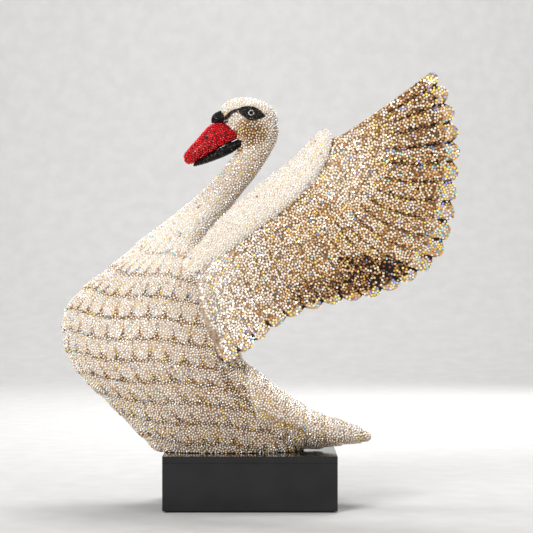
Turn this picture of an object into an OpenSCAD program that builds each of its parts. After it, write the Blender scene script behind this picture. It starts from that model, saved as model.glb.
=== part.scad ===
// Swan set with crystals, standing on a gloss plinth.
// The swan faces -X, its left side is -Y and up is +Z.
// The origin is the centre of the plinth's underside.

/* [Plinth] */
// Length of the plinth
plinth_length = 212; // [190:1:240]
// Depth of the plinth from front to back
plinth_depth = 170; // [150:1:190]
// Height of the plinth
plinth_height = 68; // [66:1:70]
// Thickness of the gloss panels
panel_t = 8; // [6:1:10]
// Thickness of the felt under the plinth
felt_t = 2; // [1:0.5:3]
// Thickness of the bottom board
board_t = 9; // [8:1:12]

/* [Castings] */
// Wall of the hollow castings
wall = 4.5; // [3.5:0.5:6]
// Points round each slice of the body, neck and head
around = 32; // [24:4:40]
// Half thickness of a wing along its arm
wing_half = 6; // [5:0.5:7]
// Half thickness of a wing at its feather tips
tip_half = 2.4; // [2:0.2:3]
// Number of feather tips round a wing's trailing edge
feathers = 22; // [18:1:24]
// Depth of the notches between the feather tips
notch = 8.5; // [3:0.5:9]

/* [Armature] */
// Thickness of the keel board inside the body
keel_t = 12; // [10:1:14]
// Diameter of the wing rods, the neck rod and the anchor bolts
rod_d = 8; // [6:1:8]
// Diameter of the small pins in the tail and the bill
pin_d = 4; // [3:0.5:5]

/* [Hidden] */
gap = 0.3;
round_fn = 48;

// ---------- Curves ----------

// Index of the stretch of a table of [position, value] rows that holds t
function stretch(tab, t, i = 0) =
    i >= len(tab) - 2 || t < tab[i + 1][0] ? i : stretch(tab, t, i + 1);

// Slope of the table at row i, from its neighbours
function slope(tab, i) =
    let(a = max(i - 1, 0), b = min(i + 1, len(tab) - 1))
    (tab[b][1] - tab[a][1]) / (tab[b][0] - tab[a][0]);

// Smooth curve through the rows of a table. A value may be a number or a point.
function curve(tab, t) =
    let(
        i = stretch(tab, t),
        h = tab[i + 1][0] - tab[i][0],
        s = min(max((t - tab[i][0]) / h, 0), 1),
        s2 = s * s,
        s3 = s2 * s
    )
    tab[i][1] * (2 * s3 - 3 * s2 + 1) + tab[i + 1][1] * (3 * s2 - 2 * s3)
    + h * (slope(tab, i) * (s3 - 2 * s2 + s) + slope(tab, i + 1) * (s3 - s2));

function mix(a, b, t) = a + (b - a) * t;

// A list of points as table rows, placed by their distance along the line
function run(points, i = 0, at = 0) =
    i >= len(points) ? [] :
    let(step = i == 0 ? 0 : norm(points[i] - points[i - 1]))
    concat([[at + step, points[i]]], run(points, i + 1, at + step));

function power(v, p) = sign(v) * pow(abs(v), p);

// ---------- Solids from rings of points ----------

// Joins rings of equal length into a closed solid. The ends close on their own
// middle points, or the last ring joins the first one when looped is true.
module rings_solid(rings, looped = false, flip = false) {
    n = len(rings[0]);
    count = len(rings);
    pts = [for (r = rings) for (p = r) p];
    mid_a = [for (k = [0:2]) [for (p = rings[0]) p[k]] * [for (p = rings[0]) 1] / n];
    mid_b = [for (k = [0:2])
        [for (p = rings[count - 1]) p[k]] * [for (p = rings[0]) 1] / n];
    spans = looped ? count : count - 1;
    sides = [for (r = [0:spans - 1]) for (i = [0:n - 1])
        let(
            a = r * n + i,
            b = r * n + (i + 1) % n,
            c = ((r + 1) % count) * n + (i + 1) % n,
            d = ((r + 1) % count) * n + i
        )
        for (f = [[a, b, c], [a, c, d]]) f];
    ends = looped ? [] : [
        for (i = [0:n - 1]) for (f = [
            [(i + 1) % n, i, count * n],
            [(count - 1) * n + i, (count - 1) * n + (i + 1) % n, count * n + 1]
        ]) f];
    faces = concat(sides, ends);
    polyhedron(
        looped ? pts : concat(pts, [mid_a, mid_b]),
        flip ? [for (f = faces) [f[2], f[1], f[0]]] : faces,
        convexity = 8
    );
}

// ---------- The body, neck and head: level slices up a slanted outline ----------

// Breast, neck front and throat: height and X
FRONT = [
    [68, -118], [92, -142], [130, -179], [160, -210], [190, -229], [220, -234.5],
    [245, -230], [262, -217], [282, -196], [305, -165], [330, -137], [355, -104],
    [380, -73], [405, -46], [430, -25], [443, -16], [455, -15], [463, -21],
    [472, -31], [485, -38]
];
// Back of the body under the tail and wings, then the neck's back: height and X
BACK = [
    [68, 66], [90, 58], [110, 48], [130, 34], [150, 15], [168, -2], [182, -11],
    [200, -12], [220, -12], [245, -16], [270, -26], [295, -41], [315, -50],
    [335, -49], [355, -38], [373, -24], [393, -9], [405, 1], [418, 11],
    [430, 18.5], [443, 26.5], [455, 32], [468, 34.5], [485, 33]
];
// Half width across the body: height and Y
HALF = [
    [68, 44], [80, 51], [105, 62], [130, 71], [155, 77], [180, 80], [215, 80],
    [245, 75], [270, 66], [295, 55], [318, 45], [340, 36], [360, 29], [380, 23.5],
    [405, 19.5], [430, 17.5], [443, 18.5], [455, 20.5], [468, 22.5], [485, 23]
];
crown_z = 485;
crown_rise = 23.5;
crown_shift = -5;
foot_z = plinth_height;
seam_low = 340;
seam_high = 446;
roundness = 2.2;

function crown(z) = sqrt(max(1 - pow((z - crown_z) / crown_rise, 2), 0));
function slice_front(z) = curve(FRONT, min(z, crown_z));
function slice_back(z) = curve(BACK, min(z, crown_z));
function slice_mid(z) =
    (slice_front(z) + slice_back(z)) / 2
    + (z > crown_z ? crown_shift * (z - crown_z) / crown_rise : 0);
function slice_long(z) =
    (slice_back(z) - slice_front(z)) / 2 * (z > crown_z ? crown(z) : 1);
function slice_half(z) = curve(HALF, min(z, crown_z)) * (z > crown_z ? crown(z) : 1);

// One level slice, drawn in by inset
function slice(z, inset = 0, zz = undef) =
    let(a = max(slice_long(z) - inset, 0.4), b = max(slice_half(z) - inset, 0.4))
    [for (i = [0:around - 1])
        let(t = 360 * i / around)
        [
            slice_mid(z) + a * power(cos(t), 2 / roundness),
            b * power(sin(t), 2 / roundness),
            is_undef(zz) ? z : zz
        ]];

// Half width of the swan at a point of its side view
function side_y(x, z) =
    let(c = min(abs(x - slice_mid(z)) / slice_long(z), 1))
    slice_half(z) * pow(1 - pow(c, roundness), 1 / roundness);

// How far from its middle the swan's surface lies at a height and a half width
function reach(y, z) =
    let(c = min(abs(y) / slice_half(z), 1))
    slice_long(z) * pow(1 - pow(c, roundness), 1 / roundness);

function steps(a, b, n) = [for (i = [0:n]) mix(a, b, i / n)];

module swan_tube(low, high, n) {
    heights = steps(low, high, n);
    outer = [for (z = heights) slice(z)];
    inner = [for (i = [n:-1:0]) slice(heights[i], wall)];
    rings_solid(concat(outer, inner), looped = true, flip = true);
}

// ---------- The plinth ----------

inner_z = felt_t + board_t;
top_z = plinth_height - panel_t;
corner_x = plinth_length / 2 - panel_t - 12;
corner_y = plinth_depth / 2 - panel_t - 12;
anchor_x = [-70, 20];
access_d = 30;
backing_t = 12;
washer_t = 1.6;
bolt_head_t = 5.3;
foot_plate_t = 12;
insert_d = 12;
screw_d = 4;
screw_len = 30;

module at_corners() {
    for (sx = [-1, 1], sy = [-1, 1]) translate([sx * corner_x, sy * corner_y, 0])
        children();
}

module felt_base() {
    color("dimgray") difference() {
        translate([-plinth_length / 2 + 4, -plinth_depth / 2 + 4, 0])
            cube([plinth_length - 8, plinth_depth - 8, felt_t]);
        for (x = anchor_x) translate([x, 0, -1]) cylinder(d = access_d, h = felt_t + 2);
    }
}

module plinth_bottom_board() {
    color("burlywood") difference() {
        translate([-plinth_length / 2 + panel_t, -plinth_depth / 2 + panel_t, felt_t])
            cube([plinth_length - 2 * panel_t, plinth_depth - 2 * panel_t, board_t]);
        for (x = anchor_x) translate([x, 0, 0])
            cylinder(d = access_d, h = inner_z + 1, $fn = round_fn);
        at_corners() translate([0, 0, felt_t - 1])
            cylinder(d = screw_d, h = board_t + 2, $fn = round_fn);
        at_corners() translate([0, 0, felt_t])
            cylinder(d1 = 2 * screw_d, d2 = screw_d, h = screw_d / 2, $fn = round_fn);
    }
}

module plinth_long_panel() {
    translate([-plinth_length / 2, 0, felt_t])
        cube([plinth_length, panel_t, top_z - felt_t]);
}

module plinth_end_panel() {
    translate([0, -plinth_depth / 2 + panel_t, felt_t])
        cube([panel_t, plinth_depth - 2 * panel_t, top_z - felt_t]);
}

module plinth_front_panel() {
    color("black") translate([0, -plinth_depth / 2, 0]) plinth_long_panel();
}

module plinth_back_panel() {
    color("black") translate([0, plinth_depth / 2 - panel_t, 0]) plinth_long_panel();
}

module plinth_left_panel() {
    color("black") translate([-plinth_length / 2, 0, 0]) plinth_end_panel();
}

module plinth_right_panel() {
    color("black") translate([plinth_length / 2 - panel_t, 0, 0]) plinth_end_panel();
}

module plinth_top_panel() {
    color("black") difference() {
        translate([-plinth_length / 2, -plinth_depth / 2, top_z])
            cube([plinth_length, plinth_depth, panel_t]);
        for (x = anchor_x) translate([x, 0, top_z - 1])
            cylinder(d = rod_d, h = panel_t + 2, $fn = round_fn);
    }
}

module plinth_corner_blocks() {
    color("burlywood") at_corners() difference() {
        translate([-12, -12, inner_z]) cube([24, 24, top_z - inner_z]);
        translate([0, 0, inner_z - 1])
            cylinder(d = screw_d, h = screw_len - board_t + 1, $fn = round_fn);
    }
}

module plinth_backing_plate() {
    color("tan") difference() {
        translate([-95, -35, top_z - backing_t]) cube([150, 70, backing_t]);
        for (x = anchor_x) translate([x, 0, top_z - backing_t - 1])
            cylinder(d = rod_d, h = backing_t + 2, $fn = round_fn);
    }
}

module bottom_board_screws() {
    color("goldenrod") at_corners() translate([0, 0, felt_t]) {
        cylinder(d1 = 2 * screw_d, d2 = screw_d, h = screw_d / 2, $fn = round_fn);
        cylinder(d = screw_d, h = screw_len, $fn = round_fn);
    }
}

washer_z = top_z - backing_t - washer_t;

module anchor_bolts() {
    color("silver") for (x = anchor_x) translate([x, 0, 0]) {
        translate([0, 0, washer_z - bolt_head_t])
            cylinder(d = 15, h = bolt_head_t, $fn = 6);
        translate([0, 0, washer_z])
            cylinder(d = rod_d, h = foot_z + foot_plate_t - 2 - washer_z, $fn = round_fn);
    }
}

module anchor_washers() {
    color("gainsboro") for (x = anchor_x) translate([x, 0, washer_z]) difference() {
        cylinder(d = 20, h = washer_t, $fn = round_fn);
        translate([0, 0, -1]) cylinder(d = rod_d, h = washer_t + 2, $fn = round_fn);
    }
}

module threaded_inserts() {
    color("goldenrod") for (x = anchor_x) translate([x, 0, foot_z]) difference() {
        cylinder(d = insert_d, h = foot_plate_t, $fn = round_fn);
        translate([0, 0, -1]) cylinder(d = rod_d, h = foot_plate_t + 2, $fn = round_fn);
    }
}

// ---------- The armature inside the swan ----------

keel_z = foot_z + foot_plate_t;
plate_t = 6;
plate_z = seam_low - plate_t;
keel_outline = [
    [-92, keel_z], [-165, 145], [-200, 185], [-206, 225], [-190, 255], [-145, 300],
    [-114, plate_z], [-68, plate_z], [-60, 305], [-36, 268], [-25, 235], [-22, 205],
    [-30, 180], [0, 135], [34, keel_z]
];
keel_lightening = [[-150, 210, 50], [-85, 190, 40], [-90, 130, 44]];
rod_holes = [[-38, 214], [-48, 266]];
neck_lean = 46;
neck_bend = [-12, 418];
neck_straight = 180;
neck_bend_r = 58;
bend_steps = 4;
bend_overlap = 1.02;
neck_top = 480;
bracket_x = [-75, 5];
bracket_size = 22;
bracket_t = 3;
bracket_hole = 14;
screw_bite = 10;
screw_head_t = 2;
collar_d = 18;
collar_t = 8;
rod_bite = 5;

module foot_plate() {
    outline = [for (p = slice(foot_z, wall + gap)) [p[0], p[1]]];
    color("peru") difference() {
        translate([0, 0, foot_z]) linear_extrude(foot_plate_t) polygon(outline);
        for (x = anchor_x) translate([x, 0, foot_z - 1])
            cylinder(d = insert_d, h = foot_plate_t + 2, $fn = round_fn);
        at_brackets() translate([0, bracket_hole, -screw_bite])
            cylinder(d = screw_d, h = screw_bite + 1, $fn = round_fn);
    }
}

// The straight lower run of the neck rod, from the bend down to its lower end
module neck_rod_straight(d) {
    translate([neck_bend[0], 0, neck_bend[1]]) rotate([0, 270 - neck_lean, 0])
        cylinder(d = d, h = neck_straight, $fn = round_fn);
}

module keel_board() {
    color("burlywood") difference() {
        translate([0, keel_t / 2, 0]) rotate([90, 0, 0])
            linear_extrude(keel_t) polygon(keel_outline);
        for (h = keel_lightening) translate([h[0], keel_t, h[1]]) rotate([90, 0, 0])
            cylinder(d = h[2], h = 2 * keel_t, $fn = round_fn);
        for (h = rod_holes) translate([h[0], keel_t, h[1]]) rotate([90, 0, 0])
            cylinder(d = rod_d, h = 2 * keel_t, $fn = round_fn);
        neck_rod_straight(rod_d);
        at_brackets() translate([0, -screw_bite / 2, bracket_hole]) rotate([-90, 0, 0])
            cylinder(d = screw_d, h = screw_bite / 2 + 1, $fn = round_fn);
    }
}

module at_brackets() {
    for (x = bracket_x, turn = [0, 180]) translate([x, 0, keel_z])
        rotate([0, 0, turn]) translate([0, keel_t / 2, 0]) children();
}

module keel_bracket() {
    difference() {
        union() {
            translate([-8, 0, 0]) cube([16, bracket_size, bracket_t]);
            translate([-8, 0, 0]) cube([16, bracket_t, bracket_size]);
        }
        translate([0, bracket_hole, -1])
            cylinder(d = screw_d, h = bracket_t + 2, $fn = round_fn);
        translate([0, -1, bracket_hole]) rotate([-90, 0, 0])
            cylinder(d = screw_d, h = bracket_t + 2, $fn = round_fn);
    }
}

module keel_brackets() {
    color("silver") at_brackets() keel_bracket();
}

module bracket_screws() {
    color("goldenrod") at_brackets() {
        translate([0, bracket_hole, -screw_bite])
            cylinder(d = screw_d, h = screw_bite + bracket_t, $fn = round_fn);
        translate([0, bracket_hole, bracket_t])
            cylinder(d = 2 * screw_d, h = screw_head_t, $fn = round_fn);
        translate([0, -screw_bite / 2, bracket_hole]) rotate([-90, 0, 0])
            cylinder(d = screw_d, h = screw_bite / 2 + bracket_t, $fn = round_fn);
        translate([0, bracket_t, bracket_hole]) rotate([-90, 0, 0])
            cylinder(d = 2 * screw_d, h = screw_head_t, $fn = round_fn);
    }
}

function rod_end(h) = side_y(h[0], h[1]) + rod_bite;

module wing_rods() {
    color("silver") for (h = rod_holes) translate([h[0], rod_end(h), h[1]])
        rotate([90, 0, 0]) cylinder(d = rod_d, h = 2 * rod_end(h), $fn = round_fn);
}

module rod_collars() {
    color("dimgray") for (h = rod_holes, side = [-1, 1])
        translate([h[0], side * (keel_t + collar_t) / 2 + collar_t / 2, h[1]])
            rotate([90, 0, 0]) difference() {
                cylinder(d = collar_d, h = collar_t, $fn = round_fn);
                translate([0, 0, -1]) cylinder(d = rod_d, h = collar_t + 2, $fn = round_fn);
            }
}

// The rod is bent in a few short steps, which the straight lengths overlap
module neck_rod() {
    bend_centre = neck_bend + neck_bend_r * [-sin(neck_lean), cos(neck_lean)];
    bend_step = (90 - neck_lean) / bend_steps;
    step_len = bend_overlap * 2 * neck_bend_r * sin(bend_step / 2);
    color("silver") {
        neck_rod_straight(rod_d);
        for (i = [0:bend_steps - 1])
            let(a = neck_lean - 90 + i * bend_step, at = bend_centre + neck_bend_r * [cos(a), sin(a)])
            translate([at[0], 0, at[1]]) rotate([0, -a, 0])
                cylinder(d = rod_d, h = step_len, $fn = round_fn);
        translate([bend_centre[0] + neck_bend_r, 0, bend_centre[1]])
            cylinder(d = rod_d, h = neck_top - bend_centre[1], $fn = round_fn);
    }
}

module neck_joint_plate() {
    outline = [for (p = slice(plate_z, wall + 4)) [p[0], p[1]]];
    color("peru") difference() {
        translate([0, 0, plate_z]) linear_extrude(plate_t) polygon(outline);
        neck_rod_straight(rod_d + 1);
    }
}

plug_z = 464;

module head_plug() {
    rod_x = neck_bend[0] + neck_bend_r * (1 - sin(neck_lean));
    color("tan") translate([rod_x, 0, plug_z]) difference() {
        cylinder(d = 30, h = 12, $fn = round_fn);
        translate([0, 0, -1]) cylinder(d = rod_d, h = 14, $fn = round_fn);
    }
}

// ---------- The castings ----------

module drilled_rods(d = rod_d) {
    for (h = rod_holes) translate([h[0], rod_end(h), h[1]])
        rotate([90, 0, 0]) cylinder(d = d, h = 2 * rod_end(h), $fn = round_fn);
}

module body_shell() {
    color("antiquewhite") difference() {
        swan_tube(foot_z, seam_low, 26);
        drilled_rods();
        tail_pin_bores();
    }
}

module neck_shell() {
    color("antiquewhite") swan_tube(seam_low + gap, seam_high, 14);
}

module head_shell() {
    top = crown_z + crown_rise;
    heights = concat(
        steps(seam_high + gap, crown_z - 3, 8),
        [for (t = [0:9:81]) crown_z + crown_rise * sin(t)]
    );
    n = len(heights) - 1;
    outer = [for (i = [n:-1:0]) slice(heights[i])];
    inner = [for (z = heights) slice(z, wall, z > crown_z
        ? crown_z + (z - crown_z) * (crown_rise - wall) / crown_rise : z)];
    color("antiquewhite") difference() {
        rings_solid(concat(outer, inner));
        bill_pin_bores();
    }
}

// ---------- The bill, knob and eyes ----------

upper_seat = [[-33, 477.5], [-17, 457.5]];
lower_seat = [[-19, 456.5], [-15, 446]];
// Ridge point, lower edge point and half width of each slice of the upper bill
UPPER = [
    [[-42, 477], [-25, 453], 13.5],
    [[-51, 474], [-38, 446.5], 14],
    [[-60, 464], [-48, 439], 14],
    [[-68.5, 454], [-58, 433.5], 13],
    [[-77.5, 444], [-68, 428], 11],
    [[-83, 437], [-77.5, 426], 7]
];
LOWER = [
    [[-28, 451], [-24, 440], 12],
    [[-39, 445], [-36, 434.5], 12],
    [[-50, 437.5], [-48, 430], 11.5],
    [[-61, 431.5], [-60, 426], 9.5],
    [[-70, 427], [-69, 423.5], 5]
];
bill_around = 20;

// A ring between an upper and a lower point of the side view
function bill_ring(top, low, half, k = 1) =
    let(mid = (top + low) / 2, up = (top - low) / 2)
    [for (i = [0:bill_around - 1])
        let(t = 360 * i / bill_around)
        [
            mid[0] + up[0] * k * cos(t),
            half * k * power(sin(t), 0.9),
            mid[1] + up[1] * k * cos(t)
        ]];

// A ring laid onto the front of the swan, off it by lift
function laid_front(ring, lift = gap) =
    [for (p = ring) [slice_mid(p[2]) - reach(p[1], p[2]) - lift, p[1], p[2]]];

// A ring laid onto the back of the swan
function laid_back(ring, lift = gap) =
    [for (p = ring) [slice_mid(p[2]) + reach(p[1], p[2]) + lift, p[1], p[2]]];

module bill_solid(base, half, slices, tip) {
    seats = [for (k = [0.08, 0.4, 0.72, 1]) laid_front(bill_ring(base[0], base[1], half, k))];
    body = [for (s = slices) bill_ring(s[0], s[1], s[2])];
    last = slices[len(slices) - 1];
    nose = [for (k = [0.7, 0.3]) [for (p = bill_ring(last[0], last[1], last[2], k))
        p + (1 - k) * [tip[0], 0, tip[1]]]];
    rings_solid(concat(seats, body, nose));
}

module upper_bill() {
    color("crimson") difference() {
        bill_solid(upper_seat, 12.5, UPPER, [-2.5, -2.5]);
        bill_pin_bores();
    }
}

module lower_bill() {
    color("black") bill_solid(lower_seat, 12, LOWER, [-1.5, -1.5]);
}

bill_pin_y = 7;
bill_pin_z = 470;
bill_pin_len = 16;

module bill_pin_shapes() {
    for (side = [-1, 1])
        translate([slice_mid(bill_pin_z) - reach(bill_pin_y, bill_pin_z) + wall + 1,
            side * bill_pin_y, bill_pin_z])
            rotate([0, -90, 0]) cylinder(d = pin_d, h = bill_pin_len, $fn = round_fn);
}

module bill_pin_bores() { bill_pin_shapes(); }

module bill_pins() { color("goldenrod") bill_pin_shapes(); }

knob_high = [-37, 491.5];
knob_low = [-36, 477.5];
knob_rise = 8.5;
knob_droop = 3.5;
knob_base = 12.5;
knob_half = 9;

module bill_knob() {
    base = [for (k = [0.1, 0.6, 1]) laid_front(bill_ring(knob_high, knob_low, knob_base, k))];
    middle = [(knob_high[0] + knob_low[0]) / 2 - 3, 0, (knob_high[1] + knob_low[1]) / 2];
    dome = [for (t = [25, 50, 72])
        [for (p = bill_ring(knob_high - [3, 0.5], knob_low - [5, 0], knob_half))
            middle + (p - middle) * cos(0.9 * t) - [knob_rise, 0, knob_droop] * sin(t)]];
    color("black") rings_solid(concat(base, dome));
}

// Eye mask: its upper and lower edge along X, with the line to the bill
MASK_UP = [
    [-33, 483], [-27, 488.5], [-21, 492], [-14.5, 493.5], [-10, 495.5], [-5, 496.2],
    [1, 496.2], [7, 494.5], [11, 492], [15, 488], [18.2, 484.8]
];
MASK_LOW = [
    [-33, 480], [-29, 480.5], [-25, 485], [-21, 488.3], [-17.5, 489.5],
    [-14.5, 489], [-11.5, 486.3], [-7.5, 483], [-3, 479.8], [2.5, 478.6],
    [10, 480.5], [16, 482.8], [18.2, 484]
];
mask_t = 1.2;
nostril_y = 14.3;
mask_steps = 26;
eye_x = 1;
eye_z = 488;
eye_ring_r = 3.2;
eye_ring_stone = 2;
eye_stone = 3.8;

module eye_mask() {
    xs = steps(MASK_UP[0][0], 18, mask_steps);
    rings = [for (x = xs)
        let(lo = curve(MASK_LOW, x), hi = curve(MASK_UP, x))
        concat(
            [for (i = [0:4]) let(z = mix(lo, hi, i / 4))
                [x, -side_y(x, z) - gap - mask_t, z]],
            [for (i = [4:-1:0]) let(z = mix(lo, hi, i / 4)) [x, -side_y(x, z) - gap, z]]
        )];
    rings_solid(rings, flip = true);
}

module left_eye_mask() { color("black") eye_mask(); }

module right_eye_mask() { color("black") mirror([0, 1, 0]) eye_mask(); }

// A flat-back stone: a girdle, a crown and a table
module stone(d) {
    cylinder(d = d, h = 0.15 * d, $fn = 16);
    translate([0, 0, 0.15 * d]) cylinder(d1 = d, d2 = 0.6 * d, h = 0.25 * d, $fn = 16);
}

// A stone stood on the near side of the swan
module side_stone(x, z, d, lift) {
    translate([x, -side_y(x, z) - lift, z]) rotate([90, 0, 0]) stone(d);
}

module eye_crystals() {
    lift = gap + mask_t + 0.3;
    for (i = [0:8]) side_stone(
        eye_x + eye_ring_r * cos(40 * i), eye_z + eye_ring_r * sin(40 * i), eye_ring_stone,
        lift);
    side_stone(eye_x, eye_z, eye_stone, lift);
}

module left_eye_crystals() { color("white") eye_crystals(); }

module right_eye_crystals() { color("white") mirror([0, 1, 0]) eye_crystals(); }

module nostril_crystals() {
    color("black") for (side = [0, 1]) mirror([0, side, 0])
        translate([-55, -nostril_y, 458.5]) rotate([90, 0, 0]) stone(3.5);
}

// ---------- The wings ----------

// Leading edge from the shoulder to the wrist, where the flight feathers start
LEADING = run([
    [-62, 322], [-40, 349], [-20, 370], [17, 399], [47, 422], [76, 446], [107, 452.5]
]);
// Trailing edge from the flank, under the wing and round to the tip
TRAILING = run([
    [-33, 177], [0, 197], [30, 222], [70, 243], [115, 254], [152, 261], [198, 282],
    [230, 312], [243, 358], [247, 408], [248, 438], [244, 467], [237, 492],
    [228, 512], [215, 527]
]);
wrist_share = 0.46;
shoulder = [-61, 330];
fan_across = 9;
samples = 5;

// How far the wing stands out from the middle plane
function wing_y(x, z) =
    let(
        p = (x - shoulder[0]) * 0.73 + (z - shoulder[1]) * 0.69,
        q = (x - shoulder[0]) * 0.69 - (z - shoulder[1]) * 0.73,
        bulge = 10 * max(1 - pow((q - 90) / 120, 2), 0) * min(max(p / 120, 0), 1)
    )
    45 + 0.3 * p + 0.33 * q * exp(-(p + 88) / 120) + bulge;

function span(tab) = tab[len(tab) - 1][0];
function lead_at(u) =
    let(s = u < wrist_share ? 0.88 * pow(u / wrist_share, 0.85)
        : mix(0.88, 1, (u - wrist_share) / (1 - wrist_share)))
    curve(LEADING, s * span(LEADING));
function trail_at(u) = curve(TRAILING, u * span(TRAILING));

// A point of the wing: u counts along the feathers, v runs along one of them
function wing_point(u, v) =
    let(
        a = lead_at(u),
        along = trail_at(u) - a,
        lobe = abs(sin(180 * (feathers - 0.25) * u)),
        cut = notch * (0.45 + 0.55 * u) * (1 - pow(lobe, 0.8)),
        b = a + along * (1 - cut / norm(along)),
        side = [-along[1], along[0]] / norm(along),
        bow = sin(180 * v) * (u < 0.2 ? mix(-14, 5, u / 0.2) : mix(5, -2, (u - 0.2) / 0.8))
    )
    mix(a, b, v) + side * bow;

// Half thickness: a round leading edge, then thinner towards the tips
function wing_thick(u, v) =
    let(
        nose = v < 0.1 ? sqrt(1 - pow(1 - v / 0.1, 2)) : 1,
        root = u < 0.03 ? sqrt(max(1 - pow(1 - u / 0.03, 2), 0.04)) : 1,
        edge = u > 0.97 ? sqrt(max(1 - pow((u - 0.97) / 0.03, 2), 0.09)) : 1
    )
    max(mix(wing_half, tip_half, min(max((v - 0.3) / 0.7, 0), 1)) * nose * root * edge,
        0.5);

function wing_inner(p, h) = max(wing_y(p[0], p[1]) - h, side_y(p[0], p[1]) + gap);
function wing_outer(p, h) =
    max(wing_y(p[0], p[1]) + h, wing_inner(p, h) + 1.8 * h);

module wing_fan() {
    n = feathers * samples;
    vs = [0, 0.02, 0.06, 0.14, 0.28, 0.46, 0.64, 0.82, 1];
    rings = [for (k = [0:n])
        let(u = k / n)
        concat(
            [for (i = [0:fan_across - 1]) let(p = wing_point(u, vs[i]))
                [p[0], -wing_outer(p, wing_thick(u, vs[i])), p[1]]],
            [for (i = [fan_across - 1:-1:0]) let(p = wing_point(u, vs[i]))
                [p[0], -wing_inner(p, wing_thick(u, vs[i])), p[1]]]
        )];
    rings_solid(rings);
}

module left_wing_fan() {
    color("wheat") difference() {
        wing_fan();
        drilled_rods();
    }
}

module right_wing_fan() { mirror([0, 1, 0]) left_wing_fan(); }

// Arm band: leading edge point, rear edge point and height of its crown
ARM = [
    [[-92, 291], [-82, 279], 0.5],
    [[-81, 305], [-66, 290], 3],
    [[-67, 321], [-45, 300], 6],
    [[-46, 347], [-16, 322], 8],
    [[-24, 369], [8, 341], 8.5],
    [[16, 400], [47, 370], 8.5],
    [[47, 424], [76, 398], 8],
    [[69, 445], [91, 421], 7],
    [[83, 459], [97, 439], 5.5],
    [[92, 462], [99, 450], 3.5]
];
arm_across = 9;

// X of the wing's root line at a height
function root_x(z) =
    let(v = (LEADING[0][1][1] - z) / (LEADING[0][1][1] - TRAILING[0][1][1]))
    v < 0 ? LEADING[0][1][0] : wing_point(0, min(v, 1))[0];

// The arm lies on the body ahead of the root line and on the fan behind it
function arm_seat(p) =
    gap + (p[0] < root_x(p[1]) - 2 ? side_y(p[0], p[1]) : wing_outer(p, wing_half));
function arm_surface(p, a) =
    let(t = min(max((a - 0.3) / 1.7, 0), 1))
    max(arm_seat(p),
        gap + mix(side_y(p[0], p[1]), wing_outer(p, wing_half), t));
function arm_profile(t) = pow(1 - pow(abs(2 * t - 1), 2.4), 0.6);

module wing_arm() {
    front = [for (i = [0:len(ARM) - 1]) [i, ARM[i][0]]];
    rear = [for (i = [0:len(ARM) - 1]) [i, ARM[i][1]]];
    rise = [for (i = [0:len(ARM) - 1]) [i, ARM[i][2]]];
    last = arm_across - 1;
    rings = [for (a = steps(0, len(ARM) - 1, 32))
        let(f = curve(front, a), r = curve(rear, a), h = curve(rise, a))
        concat(
            [for (i = [0:last]) let(t = i / last, p = mix(f, r, t))
                [p[0], -arm_surface(p, a) - 1 - h * arm_profile(t), p[1]]],
            [for (i = [last:-1:0]) let(p = mix(f, r, i / last))
                [p[0], -arm_seat(p), p[1]]]
        )];
    rings_solid(rings);
}

module left_wing_arm() { color("oldlace") wing_arm(); }

module right_wing_arm() { color("oldlace") mirror([0, 1, 0]) wing_arm(); }

// ---------- The tail ----------

tail_base = [[-8, 180], [66, 70]];
// Upper edge point, lower edge point and half width of each slice of the tail
TAIL = [
    [[8, 167], [68, 70.5], 58],
    [[39, 142.5], [82, 71], 56],
    [[58, 129], [92, 72.5], 53],
    [[77, 117], [101, 74], 49],
    [[96, 110], [112, 75.5], 43],
    [[116, 104], [125, 77], 35],
    [[134, 97], [137, 78.5], 24],
    [[147, 90], [147, 80], 12]
];
tail_around = 36;

function tail_ring(top, low, half, k = 1) =
    let(mid = (top + low) / 2, up = (top - low) / 2)
    [for (i = [0:tail_around - 1])
        let(t = 360 * i / tail_around)
        [
            mid[0] + up[0] * k * power(cos(t), 1.15),
            half * k * power(sin(t), 0.95),
            mid[1] + up[1] * k * power(cos(t), 1.15)
        ]];

tail_pin_at = [[20, 22, 118], [20, -22, 118], [36, 0, 96]];
tail_pin_len = 45;

module tail_pin_shapes() {
    for (p = tail_pin_at) translate(p) rotate([0, 90, 0])
        cylinder(d = pin_d, h = tail_pin_len, $fn = round_fn);
}

module tail_pin_bores() { tail_pin_shapes(); }

module tail_pins() { color("goldenrod") tail_pin_shapes(); }

module tail() {
    seats = [for (k = [0.06, 0.35, 0.7, 1])
        laid_back(tail_ring(tail_base[0], tail_base[1], 56, k))];
    body = [for (s = TAIL) tail_ring(s[0], s[1], s[2])];
    last = TAIL[len(TAIL) - 1];
    nose = [for (k = [0.7, 0.3]) [for (p = tail_ring(last[0], last[1], last[2], k))
        p + (1 - k) * [5, 0, 0]]];
    color("wheat") difference() {
        rings_solid(concat(seats, body, nose), flip = true);
        tail_pin_bores();
    }
}

// ---------- The assembly ----------

felt_base();
plinth_bottom_board();
plinth_front_panel();
plinth_back_panel();
plinth_left_panel();
plinth_right_panel();
plinth_top_panel();
plinth_corner_blocks();
plinth_backing_plate();
bottom_board_screws();
anchor_bolts();
anchor_washers();
threaded_inserts();
foot_plate();
keel_board();
keel_brackets();
bracket_screws();
wing_rods();
rod_collars();
neck_rod();
neck_joint_plate();
head_plug();
body_shell();
neck_shell();
head_shell();
upper_bill();
lower_bill();
bill_knob();
bill_pins();
left_eye_mask();
right_eye_mask();
left_eye_crystals();
right_eye_crystals();
nostril_crystals();
left_wing_fan();
right_wing_fan();
left_wing_arm();
right_wing_arm();
tail();
tail_pins();
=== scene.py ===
"""A swan set all over with faceted stones, on a gloss plinth.

The castings get their feather relief here, and the stones are set over them one by one.
Tables are in millimetres and the scene is in metres, which MM converts.
"""

import math

import bmesh
import bpy
import numpy as np
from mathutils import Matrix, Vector, kdtree
from mathutils.bvhtree import BVHTree


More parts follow.
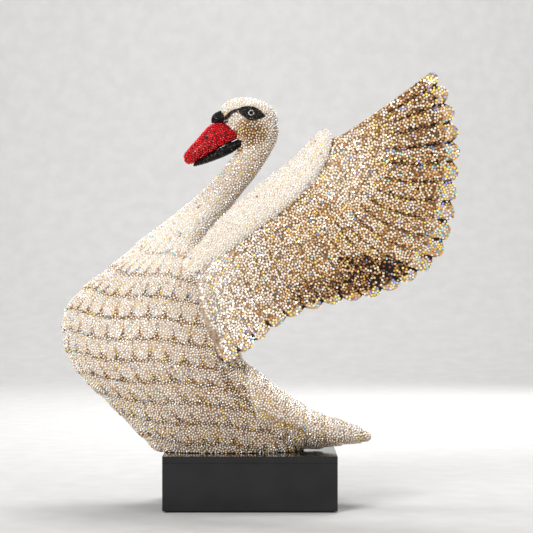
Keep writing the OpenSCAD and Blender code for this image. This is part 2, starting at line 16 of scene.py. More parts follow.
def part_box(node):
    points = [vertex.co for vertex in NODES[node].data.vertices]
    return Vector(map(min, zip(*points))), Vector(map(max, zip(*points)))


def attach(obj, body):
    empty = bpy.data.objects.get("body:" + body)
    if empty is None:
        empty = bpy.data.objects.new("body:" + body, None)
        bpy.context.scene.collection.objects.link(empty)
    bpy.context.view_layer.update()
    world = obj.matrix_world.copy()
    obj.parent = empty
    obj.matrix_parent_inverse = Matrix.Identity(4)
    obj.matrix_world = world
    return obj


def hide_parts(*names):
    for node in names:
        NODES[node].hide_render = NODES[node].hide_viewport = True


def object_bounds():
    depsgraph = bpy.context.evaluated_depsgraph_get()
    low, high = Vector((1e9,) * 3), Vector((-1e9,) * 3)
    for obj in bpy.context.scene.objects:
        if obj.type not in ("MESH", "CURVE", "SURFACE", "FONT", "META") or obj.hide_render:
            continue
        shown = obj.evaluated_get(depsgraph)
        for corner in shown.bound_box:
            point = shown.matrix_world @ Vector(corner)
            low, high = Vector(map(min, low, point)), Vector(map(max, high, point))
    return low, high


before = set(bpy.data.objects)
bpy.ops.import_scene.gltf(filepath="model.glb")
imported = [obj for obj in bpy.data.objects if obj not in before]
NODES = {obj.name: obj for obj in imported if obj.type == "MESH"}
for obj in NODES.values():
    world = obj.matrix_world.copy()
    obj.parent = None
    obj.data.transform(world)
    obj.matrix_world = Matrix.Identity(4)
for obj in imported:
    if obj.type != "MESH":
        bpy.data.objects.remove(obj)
CAD_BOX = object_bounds()
MM = 0.001


# ---------- Meshes ----------


def triangles(mesh):
    """The mesh's points and its triangles, each with the face it belongs to."""
    mesh.calc_loop_triangles()
    points = np.empty((len(mesh.vertices), 3))
    mesh.vertices.foreach_get("co", points.ravel())
    corners = np.empty((len(mesh.loop_triangles), 3), dtype=np.int64)
    mesh.loop_triangles.foreach_get("vertices", corners.ravel())
    owner = np.empty(len(mesh.loop_triangles), dtype=np.int64)
    mesh.loop_triangles.foreach_get("polygon_index", owner)
    return points, corners, owner


def vertex_normals(mesh):
    """The mesh's normal at each of its points."""
    normals = np.empty((len(mesh.vertices), 3))
    mesh.vertices.foreach_get("normal", normals.ravel())
    return normals


def make_piece(name, mesh, materials, nodes=()):
    """A finished piece: it rides on the one body and stands for the CAD nodes named."""
    piece = bpy.data.objects.new(name, mesh)
    bpy.context.scene.collection.objects.link(piece)
    for material in materials:
        mesh.materials.append(material)
    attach(piece, "root")
    if nodes:
        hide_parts(*nodes)


def joined_copy(names):
    """One mesh that holds copies of these CAD nodes' meshes."""
    joined = bmesh.new()
    for name in names:
        joined.from_mesh(NODES[name].data)
    mesh = bpy.data.meshes.new("joined")
    joined.to_mesh(mesh)
    joined.free()
    return mesh


def remeshed(mesh, voxel, rounds):
    """An even mesh of small squares over the same solid, with its edges eased."""
    shape = bpy.data.objects.new("remeshing", mesh)
    bpy.context.scene.collection.objects.link(shape)
    remesh = shape.modifiers.new("remesh", "REMESH")
    remesh.mode = "VOXEL"
    remesh.voxel_size = voxel
    smooth = shape.modifiers.new("smooth", "SMOOTH")
    smooth.factor = 0.5
    smooth.iterations = rounds
    evaluated = shape.evaluated_get(bpy.context.evaluated_depsgraph_get())
    result = bpy.data.meshes.new_from_object(evaluated)
    bpy.data.objects.remove(shape)
    return result


def smoothstep(low, high, value):
    """0 below low, 1 above high, and a smooth step between them."""
    t = np.clip((value - low) / (high - low), 0, 1)
    return t * t * (3 - 2 * t)


# ---------- Feather patterns ----------


def tiles(column, row, rounding, shape):
    """Square feathers with rounded corners that overlap like roof tiles, tips at the bottom.

    rounding is how far the tips reach below their corners, in rows, and shape a feather's
    length over half its width. Returns how high each point lies, from 0 to 1, how far it is
    from its own feather's edge, and how far below the feather that covers it, in rows.
    """
    whole = np.floor(row)

    def one_row(k):
        """How far above the feather's edge a point is, and the edge's steepness there."""
        across = 2 * ((column + 0.5 * np.mod(k, 2)) % 1) - 1
        arc = np.cbrt(1 - np.abs(0.97 * across) ** 3)
        return row - k - rounding * (1 - arc), rounding * (across / arc) ** 2 * shape

    below, steep = one_row(whole)
    under, steep_under = one_row(whole - 1)
    above, steep_above = one_row(whole + 1)
    on_top = below >= 0
    drop = np.where(on_top, below, under)
    edge = drop / np.sqrt(1 + np.where(on_top, steep, steep_under) ** 2)
    cover = -np.where(on_top, above, below) / np.sqrt(1 + np.where(on_top, steep_above, steep) ** 2)
    return 1 - np.clip(drop, 0, 1), edge, cover


# ---------- The body, neck and head ----------

FEATHER_COLUMNS = 34
FEATHER_ROW = 26 * MM
FEATHER_LIFT = 2.2 * MM
FEATHER_SHAPE = 3.0
FEATHER_ROUNDING = 0.8
# How much each row wavers from feather to feather, and how far it climbs towards the back, in rows
ROW_WAVER = 0.1
ROW_CLIMB = 0.4
SEAM_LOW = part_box("body_shell")[1].z
SEAM_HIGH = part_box("neck_shell")[1].z


class Slices:
    """Middle, half length and half width of a body at every height, read from its mesh."""

    def __init__(self, points, step=4 * MM):
        self.z = np.arange(points[:, 2].min() + step, points[:, 2].max() - step, step)
        bands = [points[np.abs(points[:, 2] - z) < step] for z in self.z]
        self.low = np.array([b[:, 0].min() for b in bands])
        self.high = np.array([b[:, 0].max() for b in bands])
        self.wide = np.array([np.abs(b[:, 1]).max() for b in bands])

    def middle(self, z):
        return (np.interp(z, self.z, self.low) + np.interp(z, self.z, self.high)) / 2

    def length(self, z):
        return (np.interp(z, self.z, self.high) - np.interp(z, self.z, self.low)) / 2

    def width(self, z):
        return np.interp(z, self.z, self.wide)

    def turn(self, points):
        """How far round the body a point is, from 0 at the back to 1 after a full turn."""
        x, y, z = points.T
        return np.arctan2(y / self.width(z), (x - self.middle(z)) / self.length(z)) / math.tau


def body_feathers(points, slices):
    """Height, edge distance and cover of the feathers on the breast, belly and back."""
    turn = slices.turn(points)
    column = turn * FEATHER_COLUMNS
    row = points[:, 2] / FEATHER_ROW + ROW_WAVER * np.sin(column) + ROW_CLIMB * np.cos(turn * math.tau)
    return tiles(column, row, FEATHER_ROUNDING, FEATHER_SHAPE)


def faces_out(points, normals, slices):
    """True on the outside of the hollow castings and false on the inside."""
    out = points.copy()
    out[:, 0] -= slices.middle(points[:, 2])
    out[:, 2] = np.maximum(points[:, 2] - SEAM_HIGH - 20 * MM, 0)
    return (out * normals).sum(axis=1) > 0


def feathered(z):
    """1 on the feathered body, fading to 0 up the smooth neck."""
    return 1 - smoothstep(0.30, 0.36, z)


def swan_skin():
    """The body, neck and head as one smooth surface with feather relief."""
    mesh = remeshed(joined_copy(["body_shell", "neck_shell", "head_shell"]), 2 * MM, 10)
    points, _, _ = triangles(mesh)
    normals = vertex_normals(mesh)
    slices = Slices(points)
    outer = faces_out(points, normals, slices)
    height, _, _ = body_feathers(points, slices)
    lift = FEATHER_LIFT * (height - 0.5) * feathered(points[:, 2]) * outer
    points += normals * lift[:, None]
    mesh.vertices.foreach_set("co", points.ravel())
    mesh.update()
    keep_shade(mesh, swan_level(points, slices)[0])
    return mesh, slices


def keep_shade(mesh, level):
    """Keeps how dark each point is, painted shade included, with the mesh, for the bed's material."""
    shade = mesh.attributes.new("shade", "FLOAT", "POINT")
    shade.data.foreach_set("value", np.clip(level / PALE_TO_DARK, 0, 1).astype(np.float32))


def near_patch(x, z, at, radius):
    """1 at the middle of an oval patch seen from the side, fading to 0 at its rim."""
    apart = np.hypot((x / MM - at[0]) / radius[0], (z / MM - at[1]) / radius[1])
    return 1 - smoothstep(0.35, 1.0, apart)


def near_path(x, z, path, half):
    """1 on a line of points seen from the side, fading to 0 at half its width."""
    x, z = x / MM, z / MM
    apart = np.full(len(x), np.inf)
    for (ax, az), (bx, bz) in zip(path, path[1:]):
        run_x, run_z = bx - ax, bz - az
        share = np.clip(((x - ax) * run_x + (z - az) * run_z) / (run_x**2 + run_z**2), 0, 1)
        apart = np.minimum(apart, np.hypot(x - ax - share * run_x, z - az - share * run_z))
    return 1 - smoothstep(0.5 * half, half, apart)


# Where the flank's feathers end over the tail, along which a shadow line is painted: X and Z
FLANK_LINE = ((-32, 165), (-15, 140), (15, 118), (45, 104), (70, 95))


def cheek_and_chin_shadow(x, z):
    """1 on the brown cheek, and under the chin, where a brown shadow is painted."""
    cheek = near_patch(x, z, (1, 463), (27, 22))
    chin_shadow = near_patch(x, z, (-20, 447), (14, 14))
    return np.maximum(cheek, chin_shadow)


def swan_level(points, slices):
    """How dark the body, neck and head are, how much the facets differ, and the chance of a coat."""
    x, _, z = points.T
    _, edge, cover = body_feathers(points, slices)
    plumes = feathered(z)
    rim = (edge < 0.08) & (plumes > 0.2)
    # Painted shade: darker low down, towards the rear, in the crease under each feather's tip, along the
    # flank's edge and under the chin; the chest is painted lighter, as a lit side
    painted_crease_shadow = (1 - smoothstep(0.03, 0.14, cover)) * plumes
    outline = (1 - smoothstep(0.02, 0.12, edge)) * plumes
    flank = near_path(x, z, FLANK_LINE, 4)
    low = 1 - smoothstep(0.10, 0.27, z)
    back = smoothstep(-0.14, -0.02, x) * plumes
    brown = cheek_and_chin_shadow(x, z)
    crown = smoothstep(0.486, 0.496, z)
    painted_chest_light = near_patch(x, z, (-95, 335), (130, 70))
    neck = smoothstep(0.36, 0.42, z)
    level = 0.35 + 0.3 * low + 0.25 * back + 0.2 * neck + 1.3 * brown - 0.3 * crown - 0.35 * painted_chest_light
    level = level + (0.8 - 0.5 * painted_chest_light) * painted_crease_shadow + 0.5 * outline + 1.0 * flank
    contrast = 0.85 + 0.3 * low + 0.2 * back + 0.4 * brown - 0.1 * crown - 0.3 * painted_chest_light
    coated = np.where(rim, 0.5, 0.05 + 0.05 * (1 - plumes) + 0.15 * brown) * (1 - crown)
    return level, contrast, coated


def cut_between(mesh, low, high):
    """A copy of a hollow mesh between two levels, with its cut edges closed by a flat ring."""
    part = bmesh.new()
    part.from_mesh(mesh)
    for level, up in ((low, -1), (high, 1)):
        if level is None:
            continue
        geometry = part.verts[:] + part.edges[:] + part.faces[:]
        bmesh.ops.bisect_plane(
            part, geom=geometry, plane_co=(0, 0, level), plane_no=(0, 0, up), clear_outer=True
        )
        rim = [e for e in part.edges if e.is_boundary]
        bmesh.ops.bridge_loops(part, edges=rim)
    bmesh.ops.recalc_face_normals(part, faces=part.faces)
    result = bpy.data.meshes.new("cut")
    part.to_mesh(result)
    part.free()
    return result


# ---------- The wings ----------

# The wing's leading edge, from the shoulder to the wrist, and its trailing edge, from the
# flank round to the tip: X and Z
LEADING = [(-62, 322), (-40, 349), (-20, 370), (17, 399), (47, 422), (76, 446), (107, 452.5)]
TRAILING = [
    (-33, 177), (0, 197), (30, 222), (70, 243), (115, 254), (152, 261), (198, 282), (230, 312),
    (243, 358), (247, 408), (248, 438), (244, 467), (237, 492), (228, 512), (215, 527),
]
WRIST_SHARE = 0.46
FLIGHT_FEATHERS = 21.75
NOTCH = 10.0
# How far the feathers sag below a straight line, at places along the trailing edge
SAG_AT = (0, 0.2, 0.36, 0.52, 0.68, 0.78, 0.9, 1)
SAG = (14, 16, 24, 36, 29, 17, 4, 2)
COLUMNS_PER_FEATHER = 8
WING_ROWS = 84
# Where each row of coverts ends, as a share of the way from the leading edge to the trailing edge
COVERT_TIPS = (0.26, 0.38, 0.52)
FEATHER_LENGTH = 150 * MM
TIP_BAND = 15 * MM
# How deep the wing's root sinks into the body, the most that it moves, and over what share of u
ROOT_SINK = 1.2 * MM
ROOT_MOST = 1 * MM
ROOT_BLEND = 0.06
# How far the feathers rise over the wing's near and far faces, and how deep those faces lie
NEAR_RISE, NEAR_DEPTH = 1.9, 0.7
FAR_RISE, FAR_DEPTH = 1.2, 0.5
# The least thickness of the wing, and how much more it has at its root
THINNEST = 1
ROOT_EXTRA = 3.5


def along_curve(corners, share):
    """Points of a smooth curve through the corners, by share of its length."""
    corners = np.array(corners, dtype=float)
    steps = np.linalg.norm(np.diff(corners, axis=0), axis=1)
    at = np.concatenate([[0], np.cumsum(steps)])
    back = np.concatenate([[0], np.arange(len(at) - 1)]).astype(int)
    ahead = np.minimum(np.arange(len(at)) + 1, len(at) - 1)
    slope = (corners[ahead] - corners[back]) / (at[ahead] - at[back])[:, None]
    where = np.clip(share, 0, 1) * at[-1]
    i = np.clip(np.searchsorted(at, where, side="right") - 1, 0, len(at) - 2)
    h = (at[i + 1] - at[i])[:, None]
    s = ((where - at[i]) / (at[i + 1] - at[i]))[:, None]
    start = corners[i] * (2 * s**3 - 3 * s**2 + 1) + h * slope[i] * (s**3 - 2 * s**2 + s)
    end = corners[i + 1] * (3 * s**2 - 2 * s**3) + h * slope[i + 1] * (s**3 - s**2)
    return start + end


def wing_plan(u, v):
    """X and Z of a wing point: u counts along the feathers, v runs along one of them."""
    arm = 0.88 * (np.clip(u, 1e-9, 1) / WRIST_SHARE) ** 0.85
    hand = 0.88 + 0.12 * (u - WRIST_SHARE) / (1 - WRIST_SHARE)
    a = along_curve(LEADING, np.where(u < WRIST_SHARE, arm, hand))
    run = along_curve(TRAILING, u) - a
    lobe = np.abs(np.sin(math.pi * FLIGHT_FEATHERS * u))
    cut = NOTCH * (0.45 + 0.55 * u) * (1 - lobe**0.8)
    length = np.linalg.norm(run, axis=1)
    reach = run * (1 - cut / length)[:, None]
    side = np.stack([-run[:, 1], run[:, 0]], axis=1) / length[:, None]
    bow = -np.interp(u, SAG_AT, SAG) * np.sin(math.pi * v)
    return (a + reach * v[:, None] + side * bow[:, None]) * MM


def wing_relief(u, v):
    """Height of the wing's feathers, from 0 to 1, and how close a point is to a feather's edge."""
    feather = (u * FLIGHT_FEATHERS) % 1
    height = 0.9 * feather
    edge = np.minimum(1 - feather, 0.5)
    start = -0.1
    for i, tip in enumerate(COVERT_TIPS):
        across = 2 * ((u * FLIGHT_FEATHERS * 1.2 + 0.5 * i) % 1) - 1
        tip_here = tip - 0.035 * across**2
        inside = (v < tip_here) & (v >= start)
        ramp = np.clip((v - start) / (tip_here - start), 0, 1)
        height = np.where(inside, 0.25 + 0.75 * ramp**1.5 + 0.1 * (1 - across**2), height)
        edge = np.where(inside, np.minimum((1 - ramp) * 2, 0.6 * (1 - np.abs(across))), edge)
        start = tip_here
    return height, edge


class WingSkin:
    """Both faces of the left wing as one closed mesh, with u, v and edge kept for every face."""

    def __init__(self, body):
        columns = []
        for feather in range(int(FLIGHT_FEATHERS) + 1):
            for t in np.linspace(0.02, 0.98, COLUMNS_PER_FEATHER):
                columns.append((feather + t) / FLIGHT_FEATHERS)
        columns = np.array([0.0] + [c for c in columns if c < 0.999] + [1.0])
        rows = np.linspace(0, 1, WING_ROWS)
        self.nu, self.nv = len(columns), len(rows)
        self.u = np.repeat(columns, self.nv)
        self.v = np.tile(rows, self.nu)
        plan = wing_plan(self.u, np.clip(self.v, 0.004, 0.996))
        node = NODES["left_wing_fan"].data
        points, corners, _ = triangles(node)
        tree = BVHTree.FromPolygons(points.tolist(), corners.tolist())
        lowest = points[:, 1].min() - 20 * MM
        near = self.faces_at(tree, plan, lowest, 1)
        far = self.faces_at(tree, plan, 0.0, -1)
        height, self.edge = wing_relief(self.u, self.v)
        inset = smoothstep(0, 0.03, self.v) * smoothstep(0, 0.02, self.u)
        outer = near - (height * NEAR_RISE - NEAR_DEPTH) * MM * inset
        outer = self.sunk_in(body, plan, outer)
        inner = far + (height * FAR_RISE - FAR_DEPTH) * MM * inset * smoothstep(0.25, 0.4, self.v)
        thick = THINNEST + ROOT_EXTRA * (1 - smoothstep(0.04, 0.12, self.u))
        inner = np.maximum(inner, outer + thick * MM)
        self.mesh = self.closed(plan, outer, inner)

    def faces_at(self, tree, plan, start, way):
        """Y of the wing's surface under each plan point, seen from start."""
        found = np.empty(len(plan))
        direction = Vector((0, way, 0))
        for i, (x, z) in enumerate(plan):
            hit = tree.ray_cast(Vector((x, start, z)), direction)[0]
            if hit is None:
                hit = tree.find_nearest(Vector((x, found[i - 1] if i else start / 2, z)))[0]
            found[i] = hit.y
        return found

    def sunk_in(self, body, plan, outer):
        """Sinks the wing's root into the flank, so that the wing grows out without a step."""
        sink = np.zeros(self.nv)
        for i in range(self.nv):
            hit = body.ray_cast(Vector((plan[i, 0], -1, plan[i, 1])), Vector((0, 1, 0)))[0]
            if hit is not None:
                sink[i] = min(max(hit.y + ROOT_SINK - outer[i], 0), ROOT_MOST)
        fade = 1 - smoothstep(0, ROOT_BLEND, self.u)
        return outer + np.tile(sink, self.nu) * fade

    def closed(self, plan, outer, inner):
        """The mesh of both faces, joined by a strip round the rim."""
        nu, nv = self.nu, self.nv
        count = nu * nv
        near = np.stack([plan[:, 0], outer, plan[:, 1]], axis=1)
        far = np.stack([plan[:, 0], inner, plan[:, 1]], axis=1)
        grid = np.arange(count).reshape(nu, nv)
        a, b = grid[:-1, :-1].ravel(), grid[1:, :-1].ravel()
        c, d = grid[1:, 1:].ravel(), grid[:-1, 1:].ravel()
        sheets = np.concatenate([np.stack([a, b, c, d], 1), np.stack([a, d, c, b], 1) + count])
        rim = np.concatenate([grid[:-1, 0], grid[-1, :-1], grid[:0:-1, -1], grid[0, :0:-1]])
        ahead = np.roll(rim, -1)
        strip = np.stack([rim, rim + count, ahead + count, ahead], 1)
        faces = np.concatenate([sheets, strip])
        mesh = bpy.data.meshes.new("wing_skin")
        mesh.from_pydata(np.concatenate([near, far]).tolist(), [], faces.tolist())
        mesh.update()
        self.face_u = self.u[faces[:, 0] % count]
        self.face_v = self.v[faces[:, 0] % count]
        self.face_edge = self.edge[faces[:, 0] % count]
        both_faces = [np.tile(value, 2) for value in (self.u, self.v, *plan.T, self.edge)]
        keep_shade(mesh, wing_level(*both_faces)[0])
        return mesh


# How deep the lower end of the arm sinks into the body, and over what height
ARM_SINK = 7 * MM
ARM_SINK_LENGTH = 60 * MM


def arm_casting():
    """The smooth band along the wing's front, whose lower end sinks into the body."""
    mesh = remeshed(joined_copy(["left_wing_arm"]), 1.5 * MM, 4)
    points, _, _ = triangles(mesh)
    up = points[:, 2] - points[:, 2].min()
    points[:, 1] += ARM_SINK * (1 - smoothstep(0, ARM_SINK_LENGTH, up))
    mesh.vertices.foreach_set("co", points.ravel())
    mesh.update()
    keep_shade(mesh, np.zeros(len(points)))
    return mesh


def mirrored(mesh):
    """The mesh on the other side of the swan."""
    other = mesh.copy()
    points, _, _ = triangles(other)
    points[:, 1] *= -1
    other.vertices.foreach_set("co", points.ravel())
    other.flip_normals()
    other.update()
    return other


# ---------- Materials ----------


def new_material(name):
    """A material, its nodes, its links and its shader."""
    material = bpy.data.materials.new(name)
    material.use_nodes = True
    nodes = material.node_tree.nodes
    return material, nodes, material.node_tree.links, nodes["Principled BSDF"]


def speckled(name, dark, pale, grain, rough, metal=0.0, coat=0.0, bump=0.3, stretch=(1, 1, 1)):
    """Two colours mixed by noise at a grain size in millimetres, with a matching bump.

    stretch squeezes the grain along X, Y and Z, for brushed metal or wood.
    """
    material, nodes, links, shader = new_material(name)
    where = nodes.new("ShaderNodeTexCoord")
    squeeze = nodes.new("ShaderNodeMapping")
    squeeze.inputs["Scale"].default_value = stretch
    noise = nodes.new("ShaderNodeTexNoise")
    noise.inputs["Scale"].default_value = 1 / (grain * MM)
    noise.inputs["Detail"].default_value = 6
    ramp = nodes.new("ShaderNodeValToRGB")
    ramp.color_ramp.elements[0].position = 0.35
    ramp.color_ramp.elements[0].color = (*dark, 1)
    ramp.color_ramp.elements[1].position = 0.68
    ramp.color_ramp.elements[1].color = (*pale, 1)
    raise_it = nodes.new("ShaderNodeBump")
    raise_it.inputs["Strength"].default_value = bump
    raise_it.inputs["Distance"].default_value = 0.3 * MM
    links.new(where.outputs["Object"], squeeze.inputs["Vector"])
    links.new(squeeze.outputs["Vector"], noise.inputs["Vector"])
    links.new(noise.outputs["Fac"], ramp.inputs["Fac"])
    links.new(ramp.outputs["Color"], shader.inputs["Base Color"])
    links.new(noise.outputs["Fac"], raise_it.inputs["Height"])
    links.new(raise_it.outputs["Normal"], shader.inputs["Normal"])
    shader.inputs["Roughness"].default_value = rough
    shader.inputs["Metallic"].default_value = metal
    shader.inputs["Coat Weight"].default_value = coat
    return material


def round_edges(material, radius):
    """Catches the light along sharp edges, as a lacquered edge does."""
    nodes = material.node_tree.nodes
    soft = nodes.new("ShaderNodeBevel")
    soft.samples = 6
    soft.inputs["Radius"].default_value = radius
    raise_it = next(n for n in nodes if n.type == "BUMP")
    material.node_tree.links.new(soft.outputs["Normal"], raise_it.inputs["Normal"])
    return material


def finish_nodes(material, *names):
    """Gives CAD nodes a better material."""
    for name in names:
        for slot in NODES[name].material_slots:
            slot.material = material


def adhesive(name):
    """The glue that the stones are bedded in: pale where the stones are pale, brown where dark, so it
    carries their painted shade too.
    """
    material, nodes, links, shader = new_material(name)
    where = nodes.new("ShaderNodeTexCoord")
    noise = nodes.new("ShaderNodeTexNoise")
    noise.inputs["Scale"].default_value = 1 / (2.5 * MM)
    noise.inputs["Detail"].default_value = 5
    shade = nodes.new("ShaderNodeAttribute")
    shade.attribute_name = "shade"
    blend = nodes.new("ShaderNodeMath")
    blend.operation = "MULTIPLY_ADD"
    blend.inputs[1].default_value = 0.3
    ramp = nodes.new("ShaderNodeValToRGB")
    stops = ramp.color_ramp.elements
    stops[0].position, stops[0].color = 0.12, (0.76, 0.68, 0.57, 1)
    stops[1].position, stops[1].color = 0.75, (0.012, 0.005, 0.002, 1)
    middle = stops.new(0.36)
    middle.color = (0.22, 0.12, 0.05, 1)
    links.new(where.outputs["Object"], noise.inputs["Vector"])
    links.new(noise.outputs["Fac"], blend.inputs[0])
    links.new(shade.outputs["Fac"], blend.inputs[2])
    links.new(blend.outputs["Value"], ramp.inputs["Fac"])
    links.new(ramp.outputs["Color"], shader.inputs["Base Color"])
    shader.inputs["Roughness"].default_value = 0.6
    shader.inputs["Specular IOR Level"].default_value = 0.2
    return material


# Tints of the stones' facets, as linear colours
TINTS = {
    "clear": (0.97, 0.95, 0.92),
    "pearl": (0.88, 0.82, 0.74),
    "oat": (0.70, 0.59, 0.47),
    "taupe": (0.42, 0.31, 0.21),
    "umber": (0.17, 0.105, 0.06),
    "dark": (0.018, 0.010, 0.006),
    "ivory": (0.88, 0.79, 0.68),
    "cream": (0.90, 0.77, 0.60),
    "champagne": (0.78, 0.52, 0.28),
    "tan": (0.50, 0.24, 0.075),
    "brown": (0.20, 0.07, 0.018),
    "yellow": (0.95, 0.76, 0.12),
    "orange": (0.80, 0.38, 0.07),
    "cyan": (0.30, 0.74, 0.80),
    "blue": (0.18, 0.32, 0.68),
    "violet": (0.50, 0.40, 0.78),
    "rust": (0.45, 0.10, 0.035),
    "red": (0.86, 0.010, 0.020),
    "pink": (0.93, 0.16, 0.15),
    "garnet": (0.30, 0.003, 0.006),
    "jet": (0.004, 0.004, 0.005),
    "grey": (0.12, 0.105, 0.095),
}
# From pale to dark, on the body and on the wings
COOL = ("clear", "pearl", "oat", "taupe", "umber", "dark")
WARM = ("ivory", "cream", "champagne", "tan", "brown", "dark")
TINT_INDEX = {name: i for i, name in enumerate(TINTS)}
PALE_TO_DARK = 5
DEEP = ("red", "pink", "garnet")
BLACK = ("jet", "grey", "dark")
COATED = ("yellow", "orange", "cyan", "blue", "violet", "rust")


def stone_material(name, colour):
    """Cut glass over foil, with a thinner coat on the bill's and eyes' deep colours."""
    deep, black = name in DEEP, name in BLACK
    material, _, _, shader = new_material("stone_" + name)
    shader.inputs["Base Color"].default_value = (*colour, 1)
    shader.inputs["Metallic"].default_value = 0.2
    shader.inputs["Roughness"].default_value = 0.3
    shader.inputs["Coat Weight"].default_value = 0.1 if deep or black else 0.5
    shader.inputs["Coat Roughness"].default_value = 0.08
    shader.inputs["Specular IOR Level"].default_value = 0.15 if deep or black else 0.5
    return material


# ---------- Stones ----------

SIDES = 8
STONE_PITCH = 3.15 * MM
BILL_PITCH = 2.7 * MM
MASK_PITCH = 1.9 * MM
TABLE_SHARE = 0.56
CROWN_RISE = 0.36
SUNK = 0.08
RELAX_ROUNDS = 10
MOST_STONES = 7000
# How far apart crowded stones are pushed, in pitches, and how much of the way in each round
ROOM = 1.06
PUSH = 0.3
NEIGHBOURS = 6
# A surface this far over a stone's seat buries the stone, out to the usual reach
BURIED = 0.8 * MM
COVER_REACH = 4 * MM
STONE_TILT = 0.15


def thin_out(points, gap):
    """The points in order, without those that are closer than gap to one already taken."""
    tree = kdtree.KDTree(len(points))
    for i, p in enumerate(points):
        tree.insert(p, i)
    tree.balance()
    gone = bytearray(len(points))
    kept = []
    for i, p in enumerate(points):
        if not gone[i]:
            kept.append(i)
            for _, j, _ in tree.find_range(p, gap):
                gone[j] = 1
    return points[kept]


def spread(points, tree, pitch, rounds):
    """Pushes points that crowd each other apart, and drops them back onto the surface."""
    points = points.copy()
    for _ in range(rounds):
        near = kdtree.KDTree(len(points))
        for i, p in enumerate(points):
            near.insert(p, i)
        near.balance()
        around = np.array([[m[1] for m in near.find_n(p, NEIGHBOURS + 1)] for p in points])
        away = points[:, None] - points[around[:, 1:]]
        distance = np.maximum(np.linalg.norm(away, axis=2), 1e-6)
        push = np.clip(ROOM * pitch - distance, 0, None) / distance * PUSH
        points += (away * push[:, :, None]).sum(axis=1)
        points = np.array([tree.find_nearest(Vector(p))[0] for p in points])
    return points


def scatter(points, corners, pitch, seed):
    """Evenly spaced points on a set of triangles: where, their normals and their triangles."""
    random = np.random.default_rng(seed)
    a, b, c = (points[corners[:, k]] for k in range(3))
    area = np.linalg.norm(np.cross(b - a, c - a), axis=1) / 2
    wanted = int(5 * area.sum() / pitch**2)
    pick = random.choice(len(area), wanted, p=area / area.sum())
    r, s = random.random((2, wanted, 1))
    r, s = np.where(r + s > 1, 1 - r, r), np.where(r + s > 1, 1 - s, s)
    trial = a[pick] + (b - a)[pick] * r + (c - a)[pick] * s
    tree = BVHTree.FromPolygons(points.tolist(), corners.tolist())
    placed = spread(thin_out(trial, 0.8 * pitch), tree, pitch, RELAX_ROUNDS)
    hits = [tree.find_nearest(Vector(p)) for p in placed]
    return placed, np.array([h[1] for h in hits]), np.array([h[2] for h in hits])


def covered(points, normals, surfaces, reach=COVER_REACH):
    """True where another surface lies over the point, close enough to bury a stone."""
    hidden = np.zeros(len(points), dtype=bool)
    for i, (p, n) in enumerate(zip(points, normals)):
        start, way = Vector(p + n * BURIED), Vector(n)
        hidden[i] = any(tree.ray_cast(start, way, reach)[0] is not None for tree in surfaces)
    return hidden


def stone_template():
    """One stone of unit diameter: a sunk girdle, a crown of flat facets and a table."""
    turn = np.arange(SIDES) * math.tau / SIDES
    circle = np.stack([np.cos(turn), np.sin(turn)], axis=1) / 2
    girdle = np.column_stack([circle, np.full(SIDES, -SUNK)])
    table = np.column_stack([circle * TABLE_SHARE, np.full(SIDES, CROWN_RISE)])
    faces = [list(range(SIDES - 1, -1, -1))]
    for i in range(SIDES):
        j = (i + 1) % SIDES
        faces.append([i, j, SIDES + j, SIDES + i])
    faces.append(list(range(SIDES, 2 * SIDES)))
    return np.concatenate([girdle, table]), faces


def turned_frames(normals, random):
    """Three axes for each stone: two across it, at a random turn, and its slightly tilted axis."""
    axis = normals + random.normal(0, STONE_TILT, normals.shape)
    axis /= np.linalg.norm(axis, axis=1)[:, None]
    helper = np.where(np.abs(axis[:, 2:3]) < 0.9, [[0.0, 0.0, 1.0]], [[1.0, 0.0, 0.0]])
    first = np.cross(helper, axis)
    first /= np.linalg.norm(first, axis=1)[:, None]
    second = np.cross(axis, first)
    turn = random.random((len(axis), 1)) * math.tau
    return (
        first * np.cos(turn) + second * np.sin(turn),
        second * np.cos(turn) - first * np.sin(turn),
        axis,
    )


def stone_mesh(name, places, normals, diameters, tints, random):
    """All these stones as one mesh. tints gives a material number for every face of every stone."""
    shape, faces = stone_template()
    first, second, axis = turned_frames(normals, random)
    size = diameters[:, None, None]
    points = places[:, None] + size * (
        first[:, None] * shape[None, :, 0:1]
        + second[:, None] * shape[None, :, 1:2]
        + axis[:, None] * shape[None, :, 2:3]
    )
    count = len(places)
    flat = np.array([i for face in faces for i in face])
    starts = np.cumsum([0] + [len(face) for face in faces[:-1]])
    loops = (flat[None] + len(shape) * np.arange(count)[:, None]).ravel()
    loop_starts = (starts[None] + len(flat) * np.arange(count)[:, None]).ravel()
    mesh = bpy.data.meshes.new(name)
    mesh.vertices.add(count * len(shape))
    mesh.vertices.foreach_set("co", points.ravel())
    mesh.loops.add(len(loops))
    mesh.loops.foreach_set("vertex_index", loops)
    mesh.polygons.add(len(loop_starts))
    mesh.polygons.foreach_set("loop_start", loop_starts)
    mesh.polygons.foreach_set("material_index", tints.ravel())
    mesh.update(calc_edges=True)
    mesh.shade_flat()
    return mesh


# A stone's base, its crown facets and its table, with painted reflections: the table is painted paler, as if
# it mirrored the light, and the crown darker, as if it mirrored the dark
PAINTED_FACET_GLINT = np.array([0.0] + [0.7] * SIDES + [-0.9])
# How much the shade differs from stone to stone, and the painted reflections from facet to facet
STONE_SPREAD = 0.35
FACET_SPREAD = 0.75
# How often each coat is used, and the share of a coated stone's facets that show it
COAT_WEIGHTS = (0.40, 0.22, 0.14, 0.10, 0.09, 0.05)
COAT_SHOWS = 0.6


